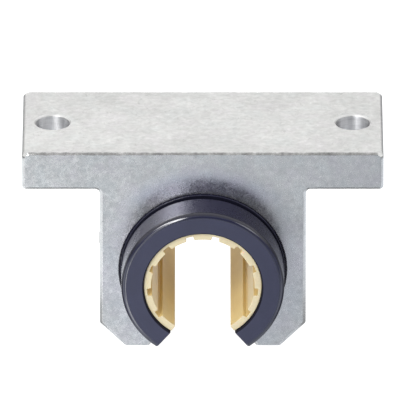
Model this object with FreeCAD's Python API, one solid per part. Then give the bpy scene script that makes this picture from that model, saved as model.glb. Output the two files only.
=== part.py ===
import FreeCAD, Part
import math
import os

# Linear bearing block for a 20 mm round rail that is carried from below.
# Frame: origin on the shaft axis at mid-length, X across the block,
# Y along the shaft, Z up. Millimetres.

# ---------------------------------------------------------------- housing
flange_width = 70.0        # across X
flange_thickness = 7.9
flange_top_z = 24.9        # mounting face above the shaft axis
body_width = 40.0
foot_z = -16.8             # underside of the two feet
block_length = 28.0        # along Y
foot_bevel = 5.0           # 45 degree bevel on the outer edge of each foot
flange_corner_r = 0.8      # outer corners of the flange section
foot_corner_r = 0.76       # corners of the foot bevels
root_fillet_r = 0.9        # inner corner between flange and body
face_edge_break = 0.45     # bevel around both sawn end faces
housing_bore_d = 32.0
bore_mouth_chamfer = 0.2
slot_half_at_bore = 8.15   # half width of the bottom slot where it meets the bore
slot_half_at_foot = 10.49  # half width of the bottom slot at the feet
screw_hole_spacing = 58.3
screw_hole_d = 6.6
screw_hole_chamfer = 0.32

# ----------------------------------------------------------- bearing sleeve
sleeve_d = 31.96
sleeve_length = 45.0
sleeve_bore_d = 23.0
sleeve_land_d = 31.6       # beyond the ring grooves
sleeve_end_round = 1.0     # rounded outer end edges
sleeve_bore_chamfer = 0.21
ring_groove_d = 30.3
ring_groove_width = 1.25
ring_groove_y = 14.3       # inner edge of the groove from mid-length
sleeve_slot_half = 6.3     # half width of the slot at the sleeve bore
sleeve_v_z = -9.76         # height where the slot flank starts to lean outwards
sleeve_v_lean_deg = 40.5   # lean of that flank from the vertical
collar_groove_d = 24.2
collar_groove_width = 6.2

# ------------------------------------------------------------------- liner
liner_d = 22.96
liner_bore_d = 20.04       # across the running pads
liner_length = 43.6
pad_pitch_deg = 360.0 / 13.0
pad_count_each_side = 5
pad_groove_deg = 9.0
pad_groove_depth = 0.82
liner_slot_half = 5.4
liner_slot_relief_z = -8.75   # below this the slot flanks lean outwards
liner_slot_relief = 0.7 / 0.98
liner_edge_break = 0.2
collar_d = 24.16
collar_width = 6.0

# ---------------------------------------------------------- locating screw
screw_d = 3.0
screw_hole_clear = 0.02
screw_head_x = -20.15      # outer end, just proud of the flank
screw_length = 5.0
dog_d = 2.0
dog_length = 1.5
socket_af = 1.5            # hexagon socket across flats
socket_depth = 1.6
dog_hole_d = 2.1
dog_hole_r = 14.9          # bottom of the blind hole, from the shaft axis

os.makedirs("parts", exist_ok=True)
V = FreeCAD.Vector
Y_AXIS = V(0, 1, 0)


def section_face(corners):
    """Closed section in the XZ plane. corners: (x, z, corner radius)."""
    edges = []
    count = len(corners)
    starts, ends, mids = [], [], []
    for i in range(count):
        x, z, r = corners[i]
        p = V(x, 0, z)
        a = V(corners[i - 1][0], 0, corners[i - 1][1]).sub(p).normalize()
        b = V(corners[(i + 1) % count][0], 0, corners[(i + 1) % count][1]).sub(p).normalize()
        if r <= 0:
            starts.append(p)
            ends.append(p)
            mids.append(None)
            continue
        half = math.acos(max(-1.0, min(1.0, a.dot(b)))) / 2.0
        run = r / math.tan(half)
        bis = a.add(b).normalize()
        centre = p.add(bis * (r / math.sin(half)))
        starts.append(p.add(a * run))
        ends.append(p.add(b * run))
        mids.append(centre.sub(bis * r))
    for i in range(count):
        if mids[i] is not None:
            edges.append(Part.Arc(starts[i], mids[i], ends[i]).toShape())
        j = (i + 1) % count
        if ends[i].distanceToPoint(starts[j]) > 1e-6:
            edges.append(Part.LineSegment(ends[i], starts[j]).toShape())
    return Part.Face(Part.Wire(edges))


def bar(face, length):
    """Extrude an XZ section symmetrically about mid-length."""
    solid = face.extrude(V(0, length, 0))
    solid.translate(V(0, -length / 2.0, 0))
    return solid


def along_y(radius, y0, y1):
    return Part.makeCylinder(radius, y1 - y0, V(0, y0, 0), Y_AXIS)


def turned(points, rounds=None):
    """Revolve an (r, y) outline about the shaft axis.

    rounds maps an outline corner's index to its radius (right-angled corners).
    """
    rounds = rounds or {}
    pts = [V(r, y, 0) for r, y in points]
    count = len(pts)
    starts, ends, mids = [], [], []
    for i, p in enumerate(pts):
        if i not in rounds:
            starts.append(p)
            ends.append(p)
            mids.append(None)
            continue
        a = pts[i - 1].sub(p).normalize()
        b = pts[(i + 1) % count].sub(p).normalize()
        r = rounds[i]
        starts.append(p.add(a * r))
        ends.append(p.add(b * r))
        mids.append(p.add((a + b) * (r * (1.0 - math.sqrt(0.5)))))
    edges = []
    for i in range(count):
        if mids[i] is not None:
            edges.append(Part.Arc(starts[i], mids[i], ends[i]).toShape())
        j = (i + 1) % count
        edges.append(Part.LineSegment(ends[i], starts[j]).toShape())
    face = Part.Face(Part.Wire(edges))
    return face.revolve(V(0, 0, 0), Y_AXIS, 360)


def polygon_bar(points, length):
    pts = [V(x, 0, z) for x, z in points]
    return bar(Part.Face(Part.makePolygon(pts + [pts[0]])), length)


def one_solid(shape):
    shape = shape.removeSplitter()
    assert len(shape.Solids) == 1, len(shape.Solids)
    solid = shape.Solids[0]
    assert solid.isValid()
    return solid


# ---------------------------------------------------------------- housing
fw = flange_width / 2.0
bw = body_width / 2.0
ft = flange_top_z - flange_thickness
half = block_length / 2.0
outline = [
    (-fw, flange_top_z, flange_corner_r),
    (fw, flange_top_z, flange_corner_r),
    (fw, ft, flange_corner_r),
    (bw, ft, root_fillet_r),
    (bw, foot_z + foot_bevel, foot_corner_r),
    (bw - foot_bevel, foot_z, foot_corner_r),
    (-bw + foot_bevel, foot_z, foot_corner_r),
    (-bw, foot_z + foot_bevel, foot_corner_r),
    (-bw, ft, root_fillet_r),
    (-fw, ft, flange_corner_r),
]
housing = bar(section_face(outline), block_length)

# bevel around both sawn end faces
rim = [
    e for e in housing.Edges
    if abs(abs(e.BoundBox.YMin) - half) < 1e-6 and e.BoundBox.YLength < 1e-6
]
housing = housing.makeChamfer(face_edge_break, rim)

# bore with chamfered mouths
rb = housing_bore_d / 2.0
housing = housing.cut(along_y(rb, -half - 1, half + 1))
for s in (-1, 1):
    mouth = Part.makeCone(
        rb + bore_mouth_chamfer + 0.5, rb, bore_mouth_chamfer + 0.5,
        V(0, s * (half + 0.5), 0), V(0, -s, 0))
    housing = housing.cut(mouth)

# bottom slot: flanks flare outwards from the bore to the feet
slot_z = -math.sqrt(rb ** 2 - slot_half_at_bore ** 2)
flare = (slot_half_at_foot - slot_half_at_bore) / (slot_z - foot_z)
low = foot_z - 1.0
slot = polygon_bar([
    (-slot_half_at_bore + flare * 4.0, slot_z + 4.0),
    (slot_half_at_bore - flare * 4.0, slot_z + 4.0),
    (slot_half_at_foot + flare, low),
    (-slot_half_at_foot - flare, low),
], block_length + 4)
housing = housing.cut(slot)

# two through holes for the mounting screws
for s in (-1, 1):
    x = s * screw_hole_spacing / 2.0
    housing = housing.cut(Part.makeCylinder(
        screw_hole_d / 2.0, flange_thickness + 2, V(x, 0, ft - 1), V(0, 0, 1)))
    for z, d in ((flange_top_z, 1), (ft, -1)):
        c = screw_hole_chamfer
        housing = housing.cut(Part.makeCone(
            screw_hole_d / 2.0 + c + 0.5, screw_hole_d / 2.0, c + 0.5,
            V(x, 0, z + d * 0.5), V(0, 0, -d)))

# cross hole for the locating screw, in the left flank at axis height
housing = housing.cut(Part.makeCylinder(
    screw_d / 2.0 + screw_hole_clear, bw - rb + 4, V(-bw - 1, 0, 0), V(1, 0, 0)))
housing = housing.cut(Part.makeCone(
    screw_d / 2.0 + 0.75, screw_d / 2.0, 0.75, V(-bw - 0.5, 0, 0), V(1, 0, 0)))
housing = one_solid(housing)

# ----------------------------------------------------------- bearing sleeve
ro = sleeve_d / 2.0
rl = sleeve_land_d / 2.0
ri = sleeve_bore_d / 2.0
hl = sleeve_length / 2.0
b = sleeve_bore_chamfer
g0 = ring_groove_y
g1 = ring_groove_y + ring_groove_width
rg = ring_groove_d / 2.0
cg = collar_groove_width / 2.0
rc = collar_groove_d / 2.0
right = [
    (ro, g0), (rg, g0), (rg, g1), (rl, g1),
    (rl, hl), (ri + b, hl), (ri, hl - b),
    (ri, cg), (rc, cg),
]
left = [(r, -y) for r, y in reversed(right)]
ends = {i: sleeve_end_round for i, q in enumerate(right + left) if q in ((rl, hl), (rl, -hl))}
sleeve = turned(right + left, ends)
sv = sleeve_slot_half
drop = 12.0
out = sv + drop * math.tan(math.radians(sleeve_v_lean_deg))
sleeve = sleeve.cut(polygon_bar([
    (-sv, 0), (sv, 0), (sv, sleeve_v_z),
    (out, sleeve_v_z - drop), (-out, sleeve_v_z - drop), (-sv, sleeve_v_z),
], sleeve_length + 4))
# blind hole that the screw's point enters
sleeve = sleeve.cut(Part.makeCylinder(
    dog_hole_d / 2.0, ro - dog_hole_r + 2, V(-ro - 2, 0, 0), V(1, 0, 0)))
sleeve = one_solid(sleeve)

# ------------------------------------------------------------------- liner
lo = liner_d / 2.0
li = liner_bore_d / 2.0
ll = liner_length / 2.0
e = liner_edge_break
ck = collar_width / 2.0
rk = collar_d / 2.0
right = [
    (rk, ck), (lo, ck), (lo, ll - e), (lo - e, ll), (li + e, ll), (li, ll - e),
]
left = [(r, -y) for r, y in reversed(right)]
liner = turned(right + left)
# grooves between the running pads, widening slightly towards the shaft
for k in range(-pad_count_each_side - 1, pad_count_each_side + 1):
    mid = (k + 0.5) * pad_pitch_deg
    w_in = math.radians(pad_groove_deg / 2.0)
    deep = li + pad_groove_depth
    half_in = li * math.sin(w_in)
    half_out = half_in * 0.94
    pts = [
        V(-half_in * 1.06, 0, li - 1.0), V(half_in * 1.06, 0, li - 1.0),
        V(half_out, 0, deep), V(-half_out, 0, deep),
    ]
    tooth = Part.Face(Part.makePolygon(pts + [pts[0]])).extrude(V(0, liner_length + 2, 0))
    tooth.translate(V(0, -liner_length / 2.0 - 1, 0))
    tooth.rotate(V(0, 0, 0), Y_AXIS, mid)
    liner = liner.cut(tooth)
lz = liner_slot_relief_z
lean = liner_slot_half + liner_slot_relief * 6.0
liner = liner.cut(polygon_bar([
    (-liner_slot_half, 0), (liner_slot_half, 0), (liner_slot_half, lz),
    (lean, lz - 6.0), (-lean, lz - 6.0), (-liner_slot_half, lz),
], liner_length + 4))
liner = one_solid(liner)

# ---------------------------------------------------------- locating screw
rs = screw_d / 2.0
rd = dog_d / 2.0
x0 = screw_head_x
x1 = screw_head_x + screw_length
pts = [
    (x0, 0), (x0, rs - 0.35), (x0 + 0.35, rs), (x1 - dog_length - 0.45, rs),
    (x1 - dog_length, rd), (x1 - 0.15, rd), (x1, rd - 0.15), (x1, 0),
]
pv = [V(x, 0, r) for x, r in pts]
screw = Part.Face(Part.makePolygon(pv + [pv[0]])).revolve(V(0, 0, 0), V(1, 0, 0), 360)
hexr = socket_af / math.sqrt(3.0)
hp = [V(x0 - 0.5, hexr * math.cos(math.radians(60 * i + 30)), hexr * math.sin(math.radians(60 * i + 30)))
      for i in range(6)]
socket = Part.Face(Part.makePolygon(hp + [hp[0]])).extrude(V(socket_depth + 0.5, 0, 0))
drill = Part.makeCone(socket_af / 2.0, 0, 0.4, V(x0 + socket_depth, 0, 0), V(1, 0, 0))
lead = Part.makeCone(hexr + 0.25, hexr - 0.05, 0.3, V(x0 - 0.15, 0, 0), V(1, 0, 0))
screw = one_solid(screw.cut(socket).cut(drill).cut(lead))

for name, shape in (
    ("housing", housing),
    ("bearing_sleeve", sleeve),
    ("liner", liner),
    ("locating_screw", screw),
):
    box = shape.BoundBox
    print("%-16s volume %9.2f mm3  X %.2f..%.2f  Y %.2f..%.2f  Z %.2f..%.2f" % (
        name, shape.Volume, box.XMin, box.XMax, box.YMin, box.YMax, box.ZMin, box.ZMax))
    shape.exportStep(os.path.join("parts", name + ".step"))
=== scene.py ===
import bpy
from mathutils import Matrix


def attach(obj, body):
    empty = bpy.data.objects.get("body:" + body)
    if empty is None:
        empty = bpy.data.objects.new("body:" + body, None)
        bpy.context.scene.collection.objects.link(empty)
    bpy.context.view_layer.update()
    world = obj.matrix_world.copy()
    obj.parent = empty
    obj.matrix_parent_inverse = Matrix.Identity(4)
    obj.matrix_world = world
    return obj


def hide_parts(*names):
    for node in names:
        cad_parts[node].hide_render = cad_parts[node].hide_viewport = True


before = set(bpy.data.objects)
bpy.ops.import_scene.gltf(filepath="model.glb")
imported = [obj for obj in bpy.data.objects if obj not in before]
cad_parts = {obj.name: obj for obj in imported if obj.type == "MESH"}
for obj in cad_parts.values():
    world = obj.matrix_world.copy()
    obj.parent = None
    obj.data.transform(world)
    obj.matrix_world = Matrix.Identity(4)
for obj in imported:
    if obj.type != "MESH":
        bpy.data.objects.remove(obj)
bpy.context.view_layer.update()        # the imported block: housing, bearing_sleeve, liner, locating_screw

import math

import bmesh
import bpy
import numpy as np
from mathutils import Vector

MM = 0.001
scene = bpy.context.scene
scene.view_settings.view_transform = "Standard"
scene.view_settings.look = "None"
scene.view_settings.exposure = 0.0
scene.view_settings.gamma = 1.0

# ---------------------------------------------------------------------------
# Sizes, in millimetres. X runs across the flange, Y along the shaft, Z up; the
# origin is on the shaft axis at mid length.
# ---------------------------------------------------------------------------
HALF_LEN = 14.0
FLANGE_HALF, FLANGE_TOP, FLANGE_UNDER = 35.0, 24.9, 17.0
BODY_HALF, FOOT_Z, FOOT_BEVEL = 20.0, -16.8, 5.0
BORE_R = 16.0
LIP_X, LIP_Z = 8.15, -13.77
MOUTH_X = 10.49
HOLE_X, HOLE_R = 29.15, 3.3

SLEEVE_R, SLEEVE_BORE_R, SLEEVE_HALF = 15.98, 11.5, 22.5
LAND_R, SLEEVE_ROUND = 15.80, 1.0
RING_R, RING_NEAR, RING_FAR = 15.15, 14.3, 15.55
SLOT_X, SLOT_Z, SLOT_LEAN = 6.3, -9.76, 40.5
COLLAR_SEAT_R, COLLAR_SEAT_HALF = 12.1, 3.1

LINER_R, LINER_BORE_R, LINER_HALF = 11.48, 10.02, 21.8
PAD_PITCH = 360.0 / 13.0
GROOVE_HALF_DEG, GROOVE_DEPTH = 4.5, 0.82
LINER_SLOT_X, LINER_SLOT_Z = 5.4, -8.75
COLLAR_R, COLLAR_HALF = 12.08, 3.0

SCREW_END_X, SCREW_LEN, SCREW_R, SCREW_PITCH = -20.15, 5.0, 1.5, 0.5
SCREW_DOG_R, SCREW_DOG_LEN = 1.0, 1.5
SOCKET_AF, SOCKET_DEPTH = 1.5, 1.6


# ---------------------------------------------------------------------------
# Outline helpers. An outline is a closed counter-clockwise list of (a, b, tag).
# ---------------------------------------------------------------------------
def soften(corners, step=9.0):
    """Turns (a, b, radius, tag) corners into points, each radius above 0 into an arc."""
    out = []
    n = len(corners)
    for i, (a, b, r, tag) in enumerate(corners):
        c = np.array((a, b), float)
        u = np.array(corners[i - 1][:2], float) - c
        v = np.array(corners[(i + 1) % n][:2], float) - c
        u /= np.linalg.norm(u)
        v /= np.linalg.norm(v)
        between = math.acos(max(-1.0, min(1.0, float(u @ v))))
        if r <= 0 or between > math.pi - 0.01:
            out.append((a, b, tag))
            continue
        run = r / math.tan(between / 2)
        mid = (u + v) / np.linalg.norm(u + v)
        centre = c + mid * (r / math.sin(between / 2))
        s, e = c + u * run - centre, c + v * run - centre
        a0 = math.atan2(s[1], s[0])
        turn = (math.atan2(e[1], e[0]) - a0 + math.pi) % (2 * math.pi) - math.pi
        k = max(3, math.ceil(abs(math.degrees(turn)) / step))
        for j in range(k + 1):
            t = a0 + turn * j / k
            out.append((centre[0] + r * math.cos(t), centre[1] + r * math.sin(t), tag))
    return out


def divide(points, longest):
    """Adds points so that no side is longer than that."""
    out = []
    n = len(points)
    for i, (a, b, tag) in enumerate(points):
        a2, b2, _ = points[(i + 1) % n]
        k = max(1, math.ceil(math.hypot(a2 - a, b2 - b) / longest))
        out.append((a, b, tag))
        for j in range(1, k):
            out.append((a + (a2 - a) * j / k, b + (b2 - b) * j / k, tag))
    return out


def mitred(points):
    """The points as an array, and for each the outward step that offsets both its sides by 1."""
    p = np.array([(a, b) for a, b, _ in points], float)
    e = np.roll(p, -1, 0) - p
    e /= np.linalg.norm(e, axis=1)[:, None]
    n = np.stack([e[:, 1], -e[:, 0]], 1)
    before = np.roll(n, 1, 0)
    m = (n + before) / (1.0 + (n * before).sum(1))[:, None]
    return p, m


def wander(count, seed, lengths):
    """A smooth closed run of numbers between about -1 and 1, one for each point of an outline."""
    rng = np.random.RandomState(seed)
    t = np.arange(count) / count * 2 * math.pi
    total = np.zeros(count)
    for cycles in lengths:
        total += rng.normal(0, 1) * np.sin(cycles * t + rng.uniform(0, 6.28))
        total += rng.normal(0, 1) * np.sin((cycles * 1.618 // 1) * t + rng.uniform(0, 6.28))
    return total / max(1e-9, np.abs(total).max())


def loft(bm, rings, material_of, close_ends=True):
    """Joins rings of equal count with quads. material_of(ring, side) gives a face's slot; -1 and -2 are the two ends."""
    layers = [[bm.verts.new(Vector(p) * MM) for p in ring] for ring in rings]
    n = len(layers[0])
    for k in range(len(layers) - 1):
        lo, hi = layers[k], layers[k + 1]
        for i in range(n):
            j = (i + 1) % n
            f = bm.faces.new((lo[i], lo[j], hi[j], hi[i]))
            f.material_index = material_of(k, i)
    if close_ends:
        first = bm.faces.new(list(reversed(layers[0])))
        first.material_index = material_of(-1, 0)
        last = bm.faces.new(layers[-1])
        last.material_index = material_of(-2, 0)
    return layers


def lathe(bm, profile, place, count=96):
    """Turns a (radius, height) profile; place(x, y, h) puts a point in the part."""
    rings = []
    for r, h in profile:
        ring = []
        for i in range(count):
            t = 2 * math.pi * i / count
            ring.append(place(r * math.cos(t), r * math.sin(t), h))
        rings.append(ring)
    loft(bm, rings, lambda k, i: 0)


def new_object(name, bm, materials):
    bmesh.ops.recalc_face_normals(bm, faces=bm.faces[:])
    mesh = bpy.data.meshes.new(name)
    bm.to_mesh(mesh)
    bm.free()
    for m in materials:
        mesh.materials.append(m)
    obj = bpy.data.objects.new(name, mesh)
    scene.collection.objects.link(obj)
    return obj


def applied(obj):
    """The object's mesh with its modifiers in it."""
    bpy.context.view_layer.update()
    seen = obj.evaluated_get(bpy.context.evaluated_depsgraph_get())
    mesh = bpy.data.meshes.new_from_object(seen)
    mesh.name = obj.data.name
    obj.modifiers.clear()
    obj.data = mesh
    return mesh


def shaded(obj, sharp_deg=34.0):
    """Smooth faces, sharp corners, and normals that keep the flats flat."""
    mesh = obj.data
    for p in mesh.polygons:
        p.use_smooth = True
    mesh.set_sharp_from_angle(angle=math.radians(sharp_deg))
    w = obj.modifiers.new("flats", "WEIGHTED_NORMAL")
    w.keep_sharp = True
    w.weight = 60
    w.thresh = 0.01
    applied(obj)


# ---------------------------------------------------------------------------
# Materials
# ---------------------------------------------------------------------------
def add(tree, kind, ins=None, **props):
    node = tree.nodes.new(kind)
    for k, v in props.items():
        setattr(node, k, v)
    for k, v in (ins or {}).items():
        if isinstance(v, bpy.types.NodeSocket):
            tree.links.new(v, node.inputs[k])
        else:
            node.inputs[k].default_value = v
    return node


def maths(tree, op, a, b=None, clamp=False):
    node = tree.nodes.new("ShaderNodeMath")
    node.operation = op
    node.use_clamp = clamp
    for i, v in enumerate((a, b)):
        if v is None:
            continue
        if isinstance(v, bpy.types.NodeSocket):
            tree.links.new(v, node.inputs[i])
        else:
            node.inputs[i].default_value = v
    return node.outputs[0]


def mapped(tree, value, lo, hi, to_lo, to_hi, smooth=False):
    node = add(
        tree,
        "ShaderNodeMapRange",
        {"Value": value, "From Min": lo, "From Max": hi, "To Min": to_lo, "To Max": to_hi},
    )
    if smooth:
        node.interpolation_type = "SMOOTHSTEP"
    return node.outputs[0]


def noise(tree, vector, scale, detail=3.0, rough=0.55, distortion=0.0):
    node = add(
        tree,
        "ShaderNodeTexNoise",
        {"Vector": vector, "Scale": scale, "Detail": detail, "Roughness": rough, "Distortion": distortion},
    )
    return node.outputs[0]


def ramp(tree, value, stops):
    node = tree.nodes.new("ShaderNodeValToRGB")
    tree.links.new(value, node.inputs[0])
    e = node.color_ramp.elements
    while len(e) < len(stops):
        e.new(0.5)
    for k, (at, colour) in zip(e, stops):
        k.position = at
        k.color = (*colour, 1.0)
    return node.outputs[0]


def shader(name, **sockets):
    m = bpy.data.materials.new(name)
    m.use_nodes = True
    t = m.node_tree
    t.nodes.clear()
    out = t.nodes.new("ShaderNodeOutputMaterial")
    bsdf = t.nodes.new("ShaderNodeBsdfPrincipled")
    t.links.new(bsdf.outputs[0], out.inputs[0])
    for k, v in sockets.items():
        bsdf.inputs[k.replace("_", " ")].default_value = v
    return m, t, bsdf


def in_mm(tree, scale=(1.0, 1.0, 1.0), turn=(0.0, 0.0, 0.0)):
    """Object coordinates in millimetres, stretched by scale."""
    co = tree.nodes.new("ShaderNodeTexCoord")
    return add(
        tree,
        "ShaderNodeMapping",
        {"Vector": co.outputs["Object"], "Scale": tuple(1000.0 * s for s in scale), "Rotation": turn},
    ).outputs[0]


def tone(colour, k):
    return tuple(c * k for c in colour)


def spread(tree, value, gain):
    """Noise centred on 0.5, pulled out to fill more of 0 to 1."""
    return mapped(tree, value, 0.5 - 0.5 / gain, 0.5 + 0.5 / gain, 0.0, 1.0)


def aluminium(name, colour, contrast, grain, stretch, rough, bump, marks, hue_tint_and_painted_shade=1.0, fold=0.6, metal=1.0, painted_sleeve_reflection=0.0):
    """Tumbled aluminium: mottling, broad clouding and short curved marks. contrast is the colour's share either side.
    The last argument, above 0, paints the sleeve's reflection into the colour: darker up and right of the sleeve, bluer
    just above it.
    """
    m, t, b = shader(name, Metallic=metal)
    even = in_mm(t)
    drawn = in_mm(t, stretch)
    n1 = noise(t, drawn, grain, 3.0, 0.6, fold)
    n2 = noise(t, even, 0.16, 3.0, 0.6, 0.9)
    n3 = noise(t, even, grain * 2.9, 2.0, 0.6)
    n4 = noise(t, even, 0.045, 2.0, 0.5)
    mix = maths(t, "ADD", maths(t, "MULTIPLY", n1, 0.44), maths(t, "MULTIPLY", n2, 0.22))
    mix = maths(t, "ADD", mix, maths(t, "MULTIPLY", n3, 0.18))
    mix = maths(t, "ADD", mix, maths(t, "MULTIPLY", n4, 0.16))
    line = noise(t, drawn, grain * 0.62, 2.0, 0.5, 0.8)
    line = mapped(t, maths(t, "ABSOLUTE", maths(t, "SUBTRACT", line, 0.5)), 0.004, 0.020, 1.0, 0.0, True)
    some = mapped(t, noise(t, even, grain * 0.34, 2.0, 0.6), 0.52, 0.62, 0.0, 1.0, True)
    mark = maths(t, "MULTIPLY", maths(t, "MULTIPLY", line, some), marks)
    value = maths(t, "SUBTRACT", spread(t, mix, 2.6), maths(t, "MULTIPLY", mark, 0.30))
    shade = ramp(t, value, [(0.0, tone(colour, 1.0 - contrast)), (0.5, colour), (1.0, tone(colour, 1.0 + contrast))])
    cool = (1.0 - 0.025 * hue_tint_and_painted_shade, 1.0, 1.0 + 0.010 * hue_tint_and_painted_shade)
    warm = (1.0 + 0.010 * hue_tint_and_painted_shade, 1.0 - 0.015 * hue_tint_and_painted_shade, 1.0 + 0.020 * hue_tint_and_painted_shade)
    hue = ramp(t, noise(t, even, 0.30, 2.0, 0.5), [(0.36, cool), (0.5, (1.0, 1.0, 1.0)), (0.64, warm)])
    tinted = add(t, "ShaderNodeVectorMath", {0: shade, 1: hue}, operation="MULTIPLY")
    # Painted reflection of the sleeve: the colour darkens up and right of the sleeve and turns bluer just above it.
    if painted_sleeve_reflection:
        sep = add(t, "ShaderNodeSeparateXYZ", {0: even})
        x, z = sep.outputs[0], sep.outputs[2]
        far = maths(t, "SQRT", maths(t, "ADD", maths(t, "MULTIPLY", x, x), maths(t, "MULTIPLY", z, z)))
        painted_dark_reflection = maths(t, "MULTIPLY", mapped(t, far, 16.5, 25.0, painted_sleeve_reflection, 0.0, True), mapped(t, x, 2.0, 9.0, 0.0, 1.0, True))
        painted_dark_reflection = maths(t, "MULTIPLY", painted_dark_reflection, mapped(t, z, 4.0, 10.0, 0.0, 1.0, True))
        painted_dark_reflection = maths(t, "MULTIPLY", painted_dark_reflection, mapped(t, n2, 0.35, 0.65, 0.8, 1.2))
        tinted = add(t, "ShaderNodeVectorMath", {0: tinted.outputs[0], "Scale": maths(t, "SUBTRACT", 1.0, painted_dark_reflection)}, operation="SCALE")
        painted_blue_reflection = maths(t, "MULTIPLY", mapped(t, far, 17.5, 23.0, 1.0, 0.0, True), mapped(t, z, 12.5, 17.0, 0.25, 1.0, True))
        painted_blue_reflection = ramp(t, painted_blue_reflection, [(0.0, (1.0, 1.0, 1.0)), (1.0, (0.985, 0.99, 1.14))])
        tinted = add(t, "ShaderNodeVectorMath", {0: tinted.outputs[0], 1: painted_blue_reflection}, operation="MULTIPLY")
    t.links.new(tinted.outputs[0], b.inputs["Base Color"])
    r = maths(t, "ADD", maths(t, "MULTIPLY", n1, 0.35), maths(t, "MULTIPLY", n2, 0.2))
    r = maths(t, "ADD", r, maths(t, "MULTIPLY", n3, 0.45))
    t.links.new(mapped(t, r, 0.37, 0.63, rough[0], rough[1]), b.inputs["Roughness"])
    high = maths(t, "ADD", maths(t, "MULTIPLY", n1, 0.75), maths(t, "MULTIPLY", n3, 0.3))
    high = maths(t, "SUBTRACT", high, maths(t, "MULTIPLY", mark, 0.4))
    bumped = add(t, "ShaderNodeBump", {"Strength": 1.0, "Distance": bump, "Height": high})
    t.links.new(bumped.outputs[0], b.inputs["Normal"])
    return m


def bored(name, colour, rough):
    """Drilled wall: rings from the drill draw its highlights out along Z. Its colour darkens towards the hole's two
    sides, as painted shade.
    """
    m, t, b = shader(name, Metallic=1.0, Anisotropic=0.78)
    rings = noise(t, in_mm(t, (0.12, 0.12, 1.0)), 3.2, 3.0, 0.65)
    streaks = noise(t, in_mm(t, (1.0, 0.3, 0.05)), 1.1, 2.0, 0.6)
    x = add(t, "ShaderNodeSeparateXYZ", {0: in_mm(t)}).outputs[0]
    off = maths(t, "ABSOLUTE", maths(t, "SUBTRACT", maths(t, "ABSOLUTE", x), HOLE_X))
    v = maths(t, "ADD", maths(t, "MULTIPLY", rings, 0.5), maths(t, "MULTIPLY", streaks, 0.5))
    # Painted shade: darker towards the hole's two sides.
    v = maths(t, "SUBTRACT", v, mapped(t, off, 2.3, 3.2, 0.0, 0.22, True))
    t.links.new(ramp(t, v, [(0.15, tone(colour, 0.55)), (0.48, colour), (0.66, tone(colour, 1.18))]), b.inputs["Base Color"])
    t.links.new(mapped(t, rings, 0.3, 0.7, rough[0], rough[1]), b.inputs["Roughness"])
    t.links.new(in_mm(t, (0.0, 0.0, 1.0)), b.inputs["Tangent"])
    return m


def turned_lines(tree):
    """Noise that changes only with radius and length, as a turning tool leaves it."""
    sep = add(tree, "ShaderNodeSeparateXYZ", {0: in_mm(tree)})
    x, y, z = sep.outputs
    r = maths(tree, "SQRT", maths(tree, "ADD", maths(tree, "MULTIPLY", x, x), maths(tree, "MULTIPLY", z, z)))
    lines = add(tree, "ShaderNodeCombineXYZ", {0: r, 1: y})
    return noise(tree, lines.outputs[0], 5.5, 2.0, 0.65)


def anodised(name, rough, lines_bump, shade=1.0, ior=1.6, body=(0.0170, 0.0186, 0.0520)):
    """Dyed oxide: a dark blue body under neutral gloss, with faint turning lines. A pair for ior is its gloss below and above."""
    pair = ior if isinstance(ior, tuple) else None
    m, t, b = shader(name, Metallic=0.0, IOR=pair[0] if pair else ior)
    even = in_mm(t)
    if pair:
        z = add(t, "ShaderNodeSeparateXYZ", {0: even}).outputs[2]
        t.links.new(mapped(t, z, -1.0, 8.0, pair[0], pair[1], True), b.inputs["IOR"])
    lines = turned_lines(t)
    cloud = noise(t, even, 0.21, 3.0, 0.55)
    fine = noise(t, even, 3.4, 2.0, 0.6)
    v = maths(t, "ADD", maths(t, "MULTIPLY", cloud, 0.45), maths(t, "MULTIPLY", lines, 0.3))
    v = maths(t, "ADD", v, maths(t, "MULTIPLY", fine, 0.25))
    body = tone(body, shade)
    t.links.new(
        ramp(t, v, [(0.30, tone(body, 0.86)), (0.50, body), (0.70, tone(body, 1.15))]),
        b.inputs["Base Color"],
    )
    t.links.new(mapped(t, v, 0.3, 0.7, rough[0], rough[1]), b.inputs["Roughness"])
    high = maths(t, "ADD", maths(t, "MULTIPLY", lines, 0.7), maths(t, "MULTIPLY", fine, 0.4))
    bumped = add(t, "ShaderNodeBump", {"Strength": 1.0, "Distance": lines_bump, "Height": high})
    t.links.new(bumped.outputs[0], b.inputs["Normal"])
    return m


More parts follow.
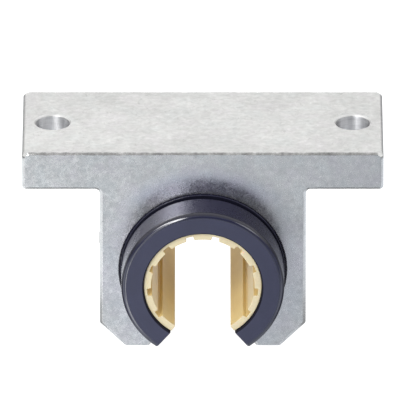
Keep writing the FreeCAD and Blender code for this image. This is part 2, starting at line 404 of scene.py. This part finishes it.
def polymer(name, colour, rough, hue_tint_and_painted_shade=0.0):
    m, t, b = shader(
        name,
        Metallic=0.0,
        IOR=1.5,
        Subsurface_Weight=0.12,
        Subsurface_Radius=(1.0, 0.62, 0.28),
        Subsurface_Scale=0.0006,
    )
    even = in_mm(t)
    drawn = in_mm(t, (1.0, 0.06, 1.0))
    cloud = noise(t, even, 0.35, 3.0, 0.55)
    grain = noise(t, even, 5.0, 2.0, 0.6)
    flow = noise(t, drawn, 2.6, 2.0, 0.5)
    v = maths(t, "ADD", maths(t, "MULTIPLY", cloud, 0.45), maths(t, "MULTIPLY", flow, 0.35))
    v = maths(t, "ADD", v, maths(t, "MULTIPLY", grain, 0.20))
    deep = tuple(c * k for c, k in zip(colour, (0.93, 0.91, 0.88)))
    pale = tuple(c * k for c, k in zip(colour, (1.05, 1.07, 1.10)))
    shade = ramp(t, v, [(0.30, deep), (0.50, colour), (0.70, pale)])
    # Painted shade: above 0, the colour darkens towards +X, on the bore's right-hand side.
    if hue_tint_and_painted_shade:
        x = add(t, "ShaderNodeSeparateXYZ", {0: even}).outputs[0]
        painted_shade_right = maths(t, "MULTIPLY", mapped(t, x, 7.6, 9.4, 0.0, hue_tint_and_painted_shade, True), mapped(t, flow, 0.3, 0.7, 0.8, 1.2))
        shade = add(t, "ShaderNodeVectorMath", {0: shade, "Scale": maths(t, "SUBTRACT", 1.0, painted_shade_right)}, operation="SCALE").outputs[0]
    t.links.new(shade, b.inputs["Base Color"])
    t.links.new(mapped(t, v, 0.3, 0.7, rough[0], rough[1]), b.inputs["Roughness"])
    high = maths(t, "ADD", maths(t, "MULTIPLY", flow, 0.5), maths(t, "MULTIPLY", grain, 0.5))
    bumped = add(t, "ShaderNodeBump", {"Strength": 1.0, "Distance": 8.0e-6, "Height": high})
    t.links.new(bumped.outputs[0], b.inputs["Normal"])
    return m


def black_steel(name):
    m, t, b = shader(name, Metallic=0.75)
    even = in_mm(t)
    cloud = noise(t, even, 1.6, 3.0, 0.6)
    fine = noise(t, even, 9.0, 2.0, 0.6)
    v = maths(t, "ADD", maths(t, "MULTIPLY", cloud, 0.6), maths(t, "MULTIPLY", fine, 0.4))
    t.links.new(
        ramp(t, v, [(0.28, (0.020, 0.020, 0.022)), (0.52, (0.045, 0.043, 0.042)), (0.72, (0.10, 0.095, 0.09))]),
        b.inputs["Base Color"],
    )
    t.links.new(mapped(t, v, 0.3, 0.7, 0.34, 0.52), b.inputs["Roughness"])
    bumped = add(t, "ShaderNodeBump", {"Strength": 1.0, "Distance": 6.0e-6, "Height": v})
    t.links.new(bumped.outputs[0], b.inputs["Normal"])
    return m


ALU_SIDES = aluminium("aluminium_profile", (0.545, 0.545, 0.545), 0.26, 1.05, (0.8, 1.0, 1.0), (0.33, 0.45), 3.0e-5, 1.0, 0.3)
# A lighter copy of the profile's aluminium for the top face, also much rougher; its extra lightness is painted light.
ALU_TOP = aluminium("aluminium_top", (0.676, 0.676, 0.673), 0.195, 1.05, (0.8, 1.0, 1.0), (0.90, 1.00), 3.0e-5, 1.0, 0.3)
# The last argument, 0.24, paints the sleeve's reflection into both end faces: darker up and right of the sleeve, bluer
# above it.
ALU_ENDS = aluminium("aluminium_ends", (0.545, 0.545, 0.545), 0.20, 0.95, (1.0, 1.0, 1.0), (0.16, 0.33), 0.9e-5, 0.10, 0.7, 0.0, 0.91, 0.24)
ALU_EDGE = aluminium("aluminium_edges", (0.560, 0.560, 0.560), 0.50, 0.9, (1.0, 1.0, 1.0), (0.17, 0.26), 2.0e-5, 0.0, 0.3, 0.0)
ALU_SIDE_EDGE = aluminium("aluminium_side_edges", (0.560, 0.560, 0.560), 0.20, 0.9, (1.0, 1.0, 1.0), (0.22, 0.32), 1.5e-5, 0.0, 0.3, 0.0)
ALU_BORED = bored("aluminium_bored", (0.775, 0.775, 0.787), (0.38, 0.46))
ALU_MOUTH = aluminium("aluminium_hole_mouths", (0.640, 0.640, 0.640), 0.16, 0.9, (1.0, 1.0, 1.0), (0.42, 0.55), 1.0e-5, 0.0, 0.3, 0.0)
# Its body is darker than the faced end's: painted shade for the turned cylinder's dimly lit top.
ANODISED = anodised("anodised_turned", (0.24, 0.31), 2.0e-6, 1.0, 1.46, (0.0145, 0.0143, 0.0350))
# A darker copy (0.72) of the faced end's colour for the end round: painted shade.
ANODISED_EDGE = anodised("anodised_edges", (0.10, 0.14), 1.0e-6, 0.72, 1.72)
# A far darker copy of the anodised colour for the ring groove and the bore's mouth: painted shade in those recesses.
ANODISED_RECESS_SHADE = anodised("anodised_recess_painted_shade", (0.50, 0.60), 1.0e-6, 0.30, 1.22, (0.0200, 0.0200, 0.0500))
# A darker, less blue copy for the outer part of the end round: painted shade.
ANODISED_SHOULDER = anodised("anodised_shoulder", (0.20, 0.27), 1.5e-6, 0.75, (1.18, 1.50), (0.0140, 0.0140, 0.0300))
ANODISED_FACE = anodised("anodised_faced", (0.30, 0.38), 1.5e-6)
POLYMER = polymer("cream_polymer", (0.690, 0.594, 0.390), (0.42, 0.56))
# A deeper, more saturated copy of the liner's cream for the running pads: painted shade for the bounced light inside
# the bore. Its last argument adds painted shade on the right-hand side.
POLYMER_RUNNING = polymer("cream_polymer_running", (0.770, 0.600, 0.285), (0.30, 0.40), 0.12)
STEEL = black_steel("black_steel")


# ---------------------------------------------------------------------------
# Housing: one closed section, sawn to length, its end edges broken by tumbling
# ---------------------------------------------------------------------------
EDGE_BREAK = [(0.57, 0.0), (0.515, 0.010), (0.460, 0.042), (0.100, 0.340), (0.040, 0.395), (0.0, 0.460), (0.0, 0.95), (0.0, 1.60)]
EDGE_ROLL = [(0.57, 0.0), (0.500, 0.020), (0.400, 0.072), (0.190, 0.250), (0.055, 0.480), (0.0, 0.760), (0.0, 1.15), (0.0, 1.70)]
EDGE_STRIPS = 5
CORNER_CUT = 1.45


def housing():
    lip = math.degrees(math.atan2(LIP_Z, LIP_X))
    left = [
        (-FLANGE_HALF + 1.90, FLANGE_TOP, 0.0, "side"),
        (-FLANGE_HALF + 1.45, FLANGE_TOP, 0.0, "side"),
        (-FLANGE_HALF + 1.10, FLANGE_TOP, 0.0, "side"),
        (-FLANGE_HALF, FLANGE_TOP, 0.80, "side"),
        (-FLANGE_HALF, FLANGE_TOP - 1.10, 0.0, "side"),
        (-FLANGE_HALF, FLANGE_TOP - 1.45, 0.0, "side"),
        (-FLANGE_HALF, FLANGE_UNDER, 0.80, "side"),
        (-BODY_HALF, FLANGE_UNDER, 0.90, "side"),
        (-BODY_HALF, FOOT_Z + FOOT_BEVEL, 0.76, "side"),
        (-BODY_HALF + FOOT_BEVEL, FOOT_Z, 0.76, "side"),
        (-MOUTH_X, FOOT_Z, 0.76, "side"),
        (-LIP_X, LIP_Z, 0.76, "side"),
    ]
    right = [(-a, b, r, tag) for a, b, r, tag in reversed(left)]
    bore = []
    for t in np.linspace(180.0 - lip - 3.4, lip + 3.4, 150):
        bore.append((BORE_R * math.cos(math.radians(t)), BORE_R * math.sin(math.radians(t)), 0.0, "bore"))
    outline = divide(soften(left + bore + right), 0.9)
    p, m = mitred(outline)
    n = len(outline)
    tags = [o[2] for o in outline]
    turn = np.degrees(np.arctan2(p[:, 1], p[:, 0])) % 360.0
    worn = np.clip((np.abs((turn + 90.0) % 360.0 - 180.0) - 45.0) / 35.0, 0.0, 1.0)
    plain = np.array([tag != "bore" for tag in tags], float)
    rings = []
    for end, seed in ((-1, 11), (1, 23)):
        rim = np.maximum(plain, 0.34 + 0.38 * worn)
        rim = sum(np.roll(rim, j) for j in range(-4, 5)) / 9.0
        k = 0.11 * wander(n, seed, (9, 17, 31, 52)) + 0.14 * wander(n, seed + 1, (71, 97, 120, 151))
        top = np.clip((p[:, 1] - FLANGE_TOP + 0.7) / 0.7, 0.0, 1.0)
        k = rim * (1.0 + k * (0.5 + 0.5 * top)) * (1.0 - 0.16 * top)
        steps = EDGE_BREAK if end < 0 else list(reversed(EDGE_ROLL))
        for inset, depth in steps:
            q = p - m * (inset * k)[:, None]
            v = depth * k
            u, w = FLANGE_HALF - np.abs(q[:, 0]), FLANGE_TOP - q[:, 1]
            lack = CORNER_CUT - (u + v + w)
            push = 0.5 * (lack + np.sqrt(lack * lack + 0.02))
            push = np.where(lack > -1.2, push, 0.0) / (2.0 if depth == 0.0 else 3.0)
            x = np.copysign(FLANGE_HALF - u - push, q[:, 0])
            if depth > 0.0:
                v = v + push
            rings.append(np.stack([x, end * (HALF_LEN - v), q[:, 1] - push], 1))
    last = 2 * len(EDGE_BREAK) - 2

    def material_of(k, i):
        if k < 0:
            return 1
        if EDGE_STRIPS <= k <= last - EDGE_STRIPS:
            if min(p[i, 1], p[(i + 1) % n, 1]) > FLANGE_TOP - 0.01:
                return 6
            return 3 if tags[i] == "bore" and tags[(i + 1) % n] == "bore" else 0
        return 2 if p[i, 1] > FLANGE_TOP - 0.9 else 4

    bm = bmesh.new()
    loft(bm, rings, material_of)
    obj = new_object("housing_block", bm, [ALU_SIDES, ALU_ENDS, ALU_EDGE, ALU_BORED, ALU_SIDE_EDGE, ALU_MOUTH, ALU_TOP])

    cutters = []

    def cutter(profile, place):
        cb = bmesh.new()
        lathe(cb, profile, place)
        c = new_object("cutter", cb, [])
        cutters.append(c)
        mod = obj.modifiers.new("cut", "BOOLEAN")
        mod.operation = "DIFFERENCE"
        mod.solver = "EXACT"
        mod.object = c

    mouth = [(1.0, 0.08), (0.36, 0.0), (0.32, -0.009), (0.285, -0.034), (0.034, -0.285), (0.009, -0.32), (0.0, -0.36)]
    screw_hole = [(HOLE_R + r, FLANGE_UNDER - h) for r, h in mouth]
    screw_hole += [(HOLE_R + r, FLANGE_TOP + h) for r, h in reversed(mouth)]
    for sx in (-1, 1):
        cutter(screw_hole, lambda x, y, h, sx=sx: (sx * HOLE_X + x, y, h))
    tapped = [(2.2, -20.1), (1.82, -20.0), (1.77, -19.97), (1.57, -19.77), (1.53, -19.7), (1.52, -19.6), (1.52, -15.0)]
    cutter(tapped, lambda x, y, h: (h, x, y))
    applied(obj)
    for c in cutters:
        mesh = c.data
        bpy.data.objects.remove(c)
        bpy.data.meshes.remove(mesh)
    mesh = obj.data
    for poly in mesh.polygons:
        c = poly.center / MM
        off = math.hypot(abs(c.x) - HOLE_X, c.y)
        if off < HOLE_R + 0.41 and FLANGE_UNDER - 0.001 < c.z < FLANGE_TOP + 0.001:
            if len(poly.vertices) < 12:
                poly.material_index = 3 if off < HOLE_R + 0.006 else 5
        elif c.x < -15.4 and c.x > -19.995 and math.hypot(c.y, c.z) < 1.84:
            poly.material_index = 3
    shaded(obj)
    return obj


# ---------------------------------------------------------------------------
# Sleeve: turned profile, opened along its whole length by two slanting cuts
# ---------------------------------------------------------------------------
def slot_angle(r):
    """Angle below the X axis, in radians, where the right cut meets that radius."""
    s, c = math.sin(math.radians(SLOT_LEAN)), math.cos(math.radians(SLOT_LEAN))
    b = SLOT_X * s - SLOT_Z * c
    k = SLOT_X**2 + SLOT_Z**2 - r * r
    t = -b + math.sqrt(b * b - k)
    return math.atan2(SLOT_Z - t * c, SLOT_X + t * s)


# Slot 2, for the recess faces, is the painted-shade copy of the anodised colour.
SLEEVE_SLOTS = {"": 0, "edge": 1, "recess": 2, "shoulder": 4}


def sleeve():
    h, r0, r1 = SLEEVE_HALF, SLEEVE_BORE_R, SLEEVE_R
    front = [
        (-COLLAR_SEAT_HALF, COLLAR_SEAT_R, 0.08, ""),
        (-COLLAR_SEAT_HALF, r0, 0.08, ""),
        (-h + 1.40, r0, 0.0, "recess"),
        (-h + 0.21, r0, 0.06, "recess"),
        (-h, r0 + 0.21, 0.10, "recess"),
    ]
    for t in np.linspace(90.0, 0.0, 14):
        c, d = math.cos(math.radians(t)), math.sin(math.radians(t))
        at = (-h + SLEEVE_ROUND * (1.0 - d), LAND_R - SLEEVE_ROUND * (1.0 - c))
        front.append((*at, 0.0, "edge" if t > 48.0 else "shoulder"))
    front += [
        (-h + SLEEVE_ROUND + 0.06, LAND_R, 0.0, ""),
        (-RING_FAR, LAND_R, 0.12, ""),
        (-RING_FAR, RING_R, 0.14, "recess"),
        (-RING_NEAR, RING_R, 0.14, "recess"),
        (-RING_NEAR, r1, 0.12, ""),
    ]
    back = [(-y, r, f, tag) for y, r, f, tag in reversed(front)]
    outline = divide(soften(front + back, 8.0), 6.0)
    profile = [(y, r) for y, r, _ in outline]
    tags = [tag for _, _, tag in outline]
    count = 216
    bm = bmesh.new()
    columns = []
    for j in range(count + 1):
        column = []
        for y, r in profile:
            a = slot_angle(r)
            t = a + (math.pi - 2 * a) * j / count
            column.append(bm.verts.new(Vector((r * math.cos(t), y, r * math.sin(t))) * MM))
        columns.append(column)
    n = len(profile)
    for j in range(count):
        for i in range(n):
            k = (i + 1) % n
            f = bm.faces.new((columns[j][i], columns[j][k], columns[j + 1][k], columns[j + 1][i]))
            if abs(profile[i][0]) > h - 0.001 and abs(profile[k][0]) > h - 0.001:
                f.material_index = 3
            elif tags[i] == tags[k]:
                f.material_index = SLEEVE_SLOTS[tags[i]]
            elif "recess" in (tags[i], tags[k]):
                f.material_index = SLEEVE_SLOTS["recess"]
            elif "shoulder" in (tags[i], tags[k]):
                f.material_index = SLEEVE_SLOTS["shoulder"]
    caps = [bm.faces.new(columns[0]), bm.faces.new(list(reversed(columns[-1])))]
    rim = list({e for f in caps for e in f.edges})
    bmesh.ops.recalc_face_normals(bm, faces=bm.faces[:])
    bmesh.ops.bevel(
        bm, geom=rim, offset=0.14 * MM, offset_type="OFFSET", segments=3, profile=0.5, affect="EDGES", clamp_overlap=True
    )
    obj = new_object("bearing_sleeve_turned", bm, [ANODISED, ANODISED_EDGE, ANODISED_RECESS_SHADE, ANODISED_FACE, ANODISED_SHOULDER])
    shaded(obj, 40.0)
    return obj


# ---------------------------------------------------------------------------
# Liner: moulded section with running pads and grooves between them
# ---------------------------------------------------------------------------
def liner():
    def at(r, t, f, tag):
        return (r * math.cos(math.radians(t)), r * math.sin(math.radians(t)), f, tag)

    far_x, far_z = 6.098, -9.727
    start = math.degrees(math.atan2(far_z, far_x))
    corners = [at(LINER_R, t, 0.0, "out") for t in np.linspace(start + 2.4, 180.0 - start - 2.4, 130)]
    corners += [(-far_x, far_z, 0.24, "out"), (-LINER_SLOT_X, LINER_SLOT_Z, 0.3, "in")]
    edge_z = -math.sqrt(LINER_BORE_R**2 - LINER_SLOT_X**2)
    corners += [(-LINER_SLOT_X, edge_z, 0.2, "in")]
    end = math.degrees(math.atan2(edge_z, LINER_SLOT_X))
    pads = [90.0 + s * (k + 0.5) * PAD_PITCH for s in (1, -1) for k in range(5)]
    edges = [180.0 - end]
    for g in sorted(pads, reverse=True):
        edges += [g + GROOVE_HALF_DEG, g - GROOVE_HALF_DEG]
    edges.append(end)
    for i in range(0, len(edges), 2):
        hi, lo = edges[i], edges[i + 1]
        a = hi - (2.2 if i == 0 else 1.6)
        b = lo + (2.2 if i == len(edges) - 2 else 1.6)
        if i:
            corners.append(at(LINER_BORE_R, hi, 0.2, "in"))
        corners += [at(LINER_BORE_R, t, 0.0, "in") for t in np.linspace(a, b, max(4, int(abs(a - b) / 1.6)))]
        if i < len(edges) - 2:
            corners.append(at(LINER_BORE_R, lo, 0.2, "in"))
            g = lo - GROOVE_HALF_DEG
            floor = LINER_BORE_R + GROOVE_DEPTH
            w = GROOVE_HALF_DEG * 0.93 * LINER_BORE_R / floor
            corners.append(at(floor, g + w, 0.16, "in"))
            corners.append(at(floor, g - w, 0.16, "in"))
    corners += [(LINER_SLOT_X, edge_z, 0.2, "in"), (LINER_SLOT_X, LINER_SLOT_Z, 0.3, "in"), (far_x, far_z, 0.24, "out")]
    outline = soften(corners, 14.0)
    p, m = mitred(outline)
    outer = np.hypot(p[:, 0], p[:, 1]) > 11.3
    lead = outer.astype(float)
    lead = sum(np.roll(lead, j) for j in range(-2, 3)) / 5.0
    rnd = 0.17
    rings = []
    curve = [(rnd * (1 - math.sin(t)), rnd * (1 - math.cos(t))) for t in np.linspace(0, math.pi / 2, 5)]
    for end_sign in (-1, 1):
        steps = curve if end_sign < 0 else list(reversed(curve))
        for inset, depth in steps:
            q = p - m * (inset * (0.6 + 0.6 * lead))[:, None]
            rings.append(np.stack([q[:, 0], end_sign * (LINER_HALF - depth * (0.6 + 2.0 * lead)), q[:, 1]], 1))
        if end_sign < 0:
            grow = np.where(outer, COLLAR_R / LINER_R, 1.0)[:, None]
            for y, k in ((-COLLAR_HALF, False), (-COLLAR_HALF + 0.01, True), (COLLAR_HALF - 0.01, True), (COLLAR_HALF, False)):
                q = p * grow if k else p
                rings.append(np.stack([q[:, 0], np.full(len(p), y), q[:, 1]], 1))
    inside = [o[2] == "in" for o in outline]
    last = len(rings) - 1

    def material_of(k, i):
        return 1 if 4 <= k <= last - 5 and inside[i] and inside[(i + 1) % len(inside)] else 0

    bm = bmesh.new()
    loft(bm, rings, material_of)
    obj = new_object("liner_moulded", bm, [POLYMER, POLYMER_RUNNING])
    shaded(obj, 40.0)
    return obj


# ---------------------------------------------------------------------------
# Set screw: hexagon socket, cut thread, dog point; its axis is X
# ---------------------------------------------------------------------------
def screw():
    count = 72
    angles = [2 * math.pi * i / count for i in range(count)]
    x0 = SCREW_END_X

    def circle(r, x):
        return [(x, r * math.cos(a), r * math.sin(a)) for a in angles]

    def hexagon(x, k=1.0):
        out = []
        for a in angles:
            d = (a % (math.pi / 3)) - math.pi / 6
            r = k * SOCKET_AF / 2 / math.cos(d)
            out.append((x, r * math.cos(a), r * math.sin(a)))
        return out

    rings = [circle(0.02, x0 + SOCKET_DEPTH + 0.28), circle(0.55, x0 + SOCKET_DEPTH + 0.02), hexagon(x0 + SOCKET_DEPTH)]
    rings += [hexagon(x0 + 0.12), circle(0.93, x0 + 0.01), circle(0.97, x0), circle(1.10, x0), circle(1.16, x0 + 0.03)]
    thread_from, thread_to = x0 + 0.32, x0 + SCREW_LEN - SCREW_DOG_LEN - 0.30
    steps = int((thread_to - thread_from) / (SCREW_PITCH / 10))
    for s in range(steps + 1):
        x = thread_from + (thread_to - thread_from) * s / steps
        ring = []
        for a in angles:
            t = ((x - x0) / SCREW_PITCH - a / (2 * math.pi)) % 1.0
            cut = min(1.0, max(0.0, (abs(t - 0.5) * 2 - 0.14) / 0.72))
            lead = min(1.0, (x - thread_from) / 0.18, (thread_to - x) / 0.18)
            top = SCREW_R - 0.10 * (1 - max(0.0, lead))
            r = top - 0.25 * cut
            ring.append((x, r * math.cos(a), r * math.sin(a)))
        rings.append(ring)
    tip = x0 + SCREW_LEN
    rings += [circle(SCREW_DOG_R + 0.06, tip - SCREW_DOG_LEN - 0.04), circle(SCREW_DOG_R, tip - SCREW_DOG_LEN + 0.02)]
    rings += [circle(SCREW_DOG_R, tip - 0.18), circle(SCREW_DOG_R - 0.04, tip - 0.10), circle(SCREW_DOG_R - 0.16, tip)]
    bm = bmesh.new()
    loft(bm, rings, lambda k, i: 0)
    obj = new_object("locating_screw_set", bm, [STEEL])
    shaded(obj, 34.0)
    return obj


for make, node, slot in (
    (housing, "housing", "housing_aluminium"),
    (sleeve, "bearing_sleeve", "sleeve_anodised"),
    (liner, "liner", "liner_polymer"),
    (screw, "locating_screw", "screw_steel"),
):
    piece = make()
    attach(piece, "root")
    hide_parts(node)


# ---------------------------------------------------------------------------
# Floor, light and camera
# ---------------------------------------------------------------------------
def plane(name, half, z, material):
    bm = bmesh.new()
    bm.faces.new([bm.verts.new(v) for v in ((-half, -half, z), (half, -half, z), (half, half, z), (-half, half, z))])
    obj = new_object(name, bm, [material])
    if obj.data.polygons[0].normal.z < 0:
        obj.data.flip_normals()
    return obj


def floor():
    """A pale floor, and under it the table's glow that the metal mirrors."""
    m, t, b = shader("floor_paper", Base_Color=(0.28, 0.28, 0.28, 1.0), Roughness=0.9, Specular_IOR_Level=0.0)
    b.inputs["Emission Color"].default_value = (1.0, 1.0, 1.0, 1.0)
    b.inputs["Emission Strength"].default_value = 0.96
    seen = plane("floor", 5.0, FOOT_Z * MM - 0.00002, m)
    seen.visible_diffuse = seen.visible_glossy = seen.visible_transmission = seen.visible_shadow = False

    m, t, b = shader("table_glow", Base_Color=(0.0, 0.0, 0.0, 1.0), Roughness=0.08, IOR=2.6)
    sep = add(t, "ShaderNodeSeparateXYZ", {0: in_mm(t)})
    x, y = sep.outputs[0], sep.outputs[1]

    def away(x0, y0):
        dx, dy = maths(t, "SUBTRACT", x, x0), maths(t, "SUBTRACT", y, y0)
        return maths(t, "SQRT", maths(t, "ADD", maths(t, "MULTIPLY", dx, dx), maths(t, "MULTIPLY", dy, dy)))

    near = mapped(t, away(0.0, -20.0), 150.0, 280.0, 1.0, 0.0, True)
    across = mapped(t, x, -60.0, 60.0, 0.910, 0.730, True)
    side = maths(t, "MULTIPLY", mapped(t, maths(t, "ABSOLUTE", x), 42.0, 62.0, 0.0, 0.25, True), mapped(t, y, -42.0, -20.0, 0.0, 1.0, True))
    behind = mapped(t, y, 30.0, 90.0, 0.0, -0.35, True)
    right = maths(t, "MULTIPLY", mapped(t, x, 38.0, 58.0, 0.0, 0.42, True), mapped(t, y, -50.0, -80.0, 0.0, 1.0, True))
    beside = maths(t, "MULTIPLY", mapped(t, x, 0.0, 26.0, 0.0, 0.14, True), maths(t, "SUBTRACT", mapped(t, y, -98.0, -74.0, 0.0, 1.0, True), mapped(t, y, -46.0, -28.0, 0.0, 0.6, True)))
    foot = maths(t, "MULTIPLY", mapped(t, x, -2.0, -24.0, 0.0, 0.08, True), mapped(t, y, -62.0, -46.0, 0.0, 1.0, True))
    across = maths(t, "SUBTRACT", maths(t, "SUBTRACT", maths(t, "ADD", across, foot), right), beside)
    wide = maths(t, "ABSOLUTE", x)
    shade = maths(t, "MULTIPLY", mapped(t, wide, 19.0, 23.0, 0.0, 0.75, True), mapped(t, wide, 34.0, 44.0, 1.0, 0.0, True))
    shade = maths(t, "MULTIPLY", shade, mapped(t, y, -31.0, -21.0, 0.0, 1.0, True))
    lit = maths(t, "SUBTRACT", 1.0, maths(t, "MULTIPLY", shade, mapped(t, y, 30.0, 20.0, 0.0, 1.0, True)))
    level = maths(t, "MULTIPLY", near, maths(t, "ADD", maths(t, "ADD", across, side), behind))
    level = maths(t, "MULTIPLY", level, lit)
    level = maths(t, "ADD", level, maths(t, "MULTIPLY", maths(t, "SUBTRACT", 1.0, near), 0.22))
    t.links.new(level, b.inputs["Emission Strength"])
    t.links.new(
        ramp(t, mapped(t, x, -60.0, 60.0, 0.0, 1.0), [(0.0, (0.955, 1.0, 1.035)), (1.0, (0.925, 0.985, 1.075))]),
        b.inputs["Emission Color"],
    )
    glow = plane("table", 2.5, FOOT_Z * MM - 0.00006, m)
    glow.visible_camera = False


def sky():
    w = bpy.data.worlds.new("studio")
    w.use_nodes = True
    t = w.node_tree
    t.nodes.clear()
    out = t.nodes.new("ShaderNodeOutputWorld")
    bg = t.nodes.new("ShaderNodeBackground")
    t.links.new(bg.outputs[0], out.inputs[0])
    co = t.nodes.new("ShaderNodeTexCoord")
    sep = add(t, "ShaderNodeSeparateXYZ", {0: co.outputs["Generated"]})
    x, y, z = sep.outputs
    wide = maths(t, "ABSOLUTE", x)
    toward = maths(t, "ADD", maths(t, "MULTIPLY", y, -0.92), maths(t, "MULTIPLY", z, 0.39))
    front = mapped(t, toward, 0.40, 0.85, 0.0, 1.0, True)
    dim = mapped(t, z, 0.45, 0.80, 0.12, 0.62, True)
    upper = maths(t, "ADD", maths(t, "MULTIPLY", maths(t, "SUBTRACT", 1.0, front), 1.36), maths(t, "MULTIPLY", front, dim))
    rise = maths(t, "SUBTRACT", z, mapped(t, wide, 0.30, 0.45, 0.0, 0.10, True))
    above = mapped(t, rise, 0.06, 0.26, 0.0, 1.0, True)
    centre = maths(t, "MULTIPLY", mapped(t, wide, 0.12, 0.32, 1.0, 0.0, True), mapped(t, y, 0.0, 0.3, 0.0, 1.0, True))
    open_to = maths(t, "MAXIMUM", above, centre)
    low = mapped(t, y, -0.4, -0.8, 0.30, 0.25, True)
    level = maths(t, "ADD", maths(t, "MULTIPLY", upper, open_to), maths(t, "MULTIPLY", maths(t, "SUBTRACT", 1.0, open_to), low))
    below = mapped(t, z, -0.035, -0.02, 1.0, 0.0)
    level = maths(t, "ADD", maths(t, "MULTIPLY", level, maths(t, "SUBTRACT", 1.0, below)), maths(t, "MULTIPLY", below, 1.05))
    t.links.new(level, bg.inputs["Strength"])
    bg.inputs["Color"].default_value = (1.0, 1.0, 0.985, 1.0)
    scene.world = w


def area(name, direction, distance, size, power, colour=(1.0, 1.0, 1.0)):
    light = bpy.data.lights.new(name, "AREA")
    light.shape = "RECTANGLE"
    light.size, light.size_y = size
    light.energy = power
    light.color = colour
    obj = bpy.data.objects.new(name, light)
    d = Vector(direction).normalized()
    obj.location = d * distance
    obj.rotation_euler = (-d).to_track_quat("-Z", "Y").to_euler()
    scene.collection.objects.link(obj)
    return obj


def radiance(size, level):
    """Power of a one-sided area light of that size with that radiance."""
    return math.pi * size[0] * size[1] * level


def camera():
    up = math.radians(25.8)
    width, distance = 0.4 / 5.13, 3.03
    cam = bpy.data.cameras.new("camera")
    cam.sensor_fit = "HORIZONTAL"
    cam.sensor_width = 36.0
    cam.lens = 36.0 * distance / width
    cam.clip_start, cam.clip_end = 0.1, 30.0
    obj = bpy.data.objects.new("camera", cam)
    aim = Vector((-0.536, 7.25 * math.sin(up), 7.25 * math.cos(up))) * MM
    back = Vector((0.0, -math.cos(up), math.sin(up)))
    obj.location = aim + back * distance
    obj.rotation_euler = (math.pi / 2 - up, 0.0, 0.0)
    scene.collection.objects.link(obj)
    scene.camera = obj


floor()
sky()
area("key", (-0.295, -0.860, 0.418), 0.60, (0.095, 0.20), radiance((0.095, 0.20), 12.3))
area("fill", (0.620, -0.610, 0.487), 0.70, (0.26, 0.22), radiance((0.26, 0.22), 2.5))
area("high", (-0.465, -0.668, 0.581), 0.60, (0.255, 0.18), radiance((0.255, 0.18), 11.0))
low = area("low", (-0.375, -0.900, 0.220), 0.60, (0.20, 0.24), radiance((0.20, 0.24), 2.2))
low.visible_diffuse = False
camera()
